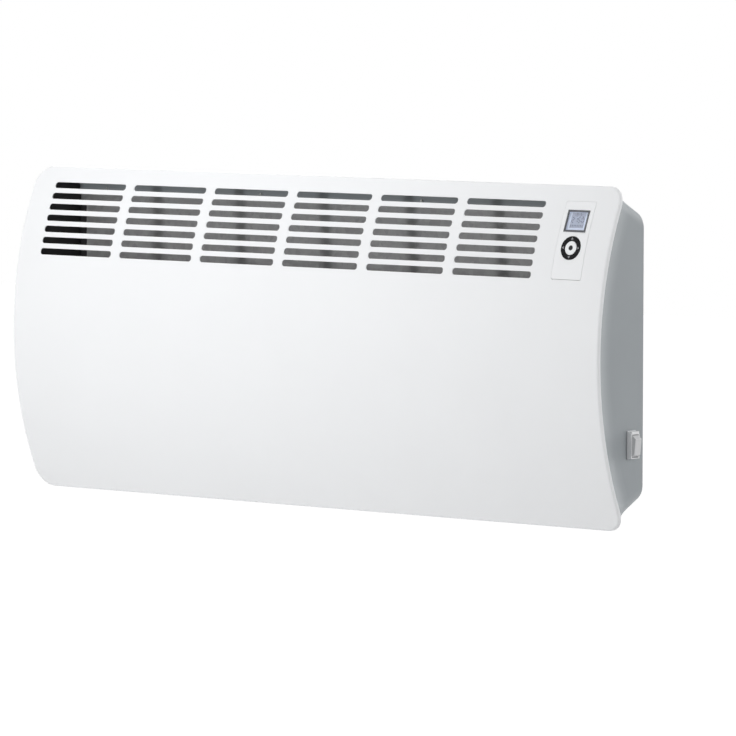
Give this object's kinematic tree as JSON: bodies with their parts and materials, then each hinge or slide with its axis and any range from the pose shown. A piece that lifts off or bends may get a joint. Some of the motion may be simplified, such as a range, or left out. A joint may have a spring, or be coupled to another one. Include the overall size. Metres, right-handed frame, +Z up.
{
  "type": "wall convector heater",
  "caption": "Bowed wall panel heater with a slotted warm-air grille, key ring and display, side mains switch, finned heating rod and a hook-on wall bracket.",
  "frame": {"origin": "centre of the four wall-screw holes of the bracket, on the wall plane", "axes": "+X to the right of someone facing the heater, the front faces -Y, the wall is at Y = 0, +Z up"},
  "size_m": [1.09, 0.126, 0.47],
  "materials": {
    "zinc": "zinc-plated, dull",
    "rivet": "plain",
    "white_enamel": "satin powder coat",
    "grey_moulding": "fine satin",
    "grey_enamel": "satin powder coat",
    "galvanised": "galvanised, dull",
    "dark_enamel": "matt black",
    "bright_sheet": "mill finish",
    "buffer": "moulded",
    "element_sheath": "heat-tinted",
    "element_profile": "extruded",
    "ceramic": "unglazed ceramic",
    "contact_brass": "plain",
    "cutout_phenolic": "moulded",
    "white_plastic": "satin",
    "inner_plastic": "moulded",
    "frame_plastic": "gloss",
    "window": "clear",
    "screen": "pale screen",
    "board": "solder resist",
    "black_plastic": "fine matt",
    "core_steel": "laminated",
    "terminal_plastic": "moulded",
    "wire": "insulation",
    "switch_grey": "moulded",
    "rocker_grey": "moulded",
    "probe_steel": "plain"
  },
  "bodies": {
    "wall_bracket": {"bracket_uprights": "zinc", "bracket_upper_rail": "zinc", "bracket_lower_rail": "zinc", "bracket_rivets": "rivet", "bracket_hooks": "zinc"},
    "heater": {"rear_panel_screws": "zinc", "capacitors": "rivet", "front_panel": "white_enamel", "panel_brackets": "white_enamel", "side_cheek_left": "grey_moulding", "side_cheek_right": "grey_moulding", "top_channel": "grey_enamel", "bottom_channel": "grey_enamel", "rear_panel": "galvanised", "partition_plate": "galvanised", "left_bulkhead": "dark_enamel", "heat_shield": "bright_sheet", "front_baffle": "bright_sheet", "wall_buffers": "buffer", "element_tube": "element_sheath", "element_fins": "element_profile", "element_bushes": "ceramic", "element_pins": "contact_brass", "thermal_cutout": "cutout_phenolic", "control_plate": "white_plastic", "control_housing": "inner_plastic", "key_carrier": "inner_plastic", "board_spacers": "inner_plastic", "sensor_holder": "inner_plastic", "display_bezel": "frame_plastic", "display_window": "window", "display_glass": "screen", "display_light": "screen", "control_board": "board", "power_board": "board", "key_switches": "black_plastic", "relays": "black_plastic", "switch_contacts": "black_plastic", "cord_gland": "black_plastic", "gland_nut": "black_plastic", "transformer": "core_steel", "power_terminals": "terminal_plastic", "terminal_block": "terminal_plastic", "element_leads": "wire", "mains_leads": "wire", "switch_frame": "switch_grey", "room_sensor": "probe_steel"},
    "up_key": {"up_key": "black_plastic"},
    "down_key": {"down_key": "black_plastic"},
    "left_key": {"left_key": "black_plastic"},
    "right_key": {"right_key": "black_plastic"},
    "ok_key": {"ok_key": "white_plastic"},
    "switch_rocker": {"switch_rocker": "rocker_grey"}
  },
  "joints": [
    {"name": "heater_lift", "type": "slide", "parent": "wall_bracket", "child": "heater", "axis": [0, 0, 1], "range_m": [0, 0.009]},
    {"name": "up_key_press", "type": "slide", "parent": "heater", "child": "up_key", "axis": [0, 0.9539, -0.3001], "range_m": [0, 0.0007], "stiffness_N_per_m": 1500},
    {"name": "down_key_press", "type": "slide", "parent": "heater", "child": "down_key", "axis": [0, 0.9539, -0.3001], "range_m": [0, 0.0007], "stiffness_N_per_m": 1500},
    {"name": "left_key_press", "type": "slide", "parent": "heater", "child": "left_key", "axis": [0, 0.9539, -0.3001], "range_m": [0, 0.0007], "stiffness_N_per_m": 1500},
    {"name": "right_key_press", "type": "slide", "parent": "heater", "child": "right_key", "axis": [0, 0.9539, -0.3001], "range_m": [0, 0.0007], "stiffness_N_per_m": 1500},
    {"name": "ok_key_press", "type": "slide", "parent": "heater", "child": "ok_key", "axis": [0, 0.9539, -0.3001], "range_m": [0, 0.0007], "stiffness_N_per_m": 1500},
    {"name": "mains_rocker", "type": "hinge", "parent": "heater", "child": "switch_rocker", "pos_m": [0.5275, -0.0265, -0.1205], "axis": [0, -1, 0], "range_deg": [0, 12]}
  ]
}
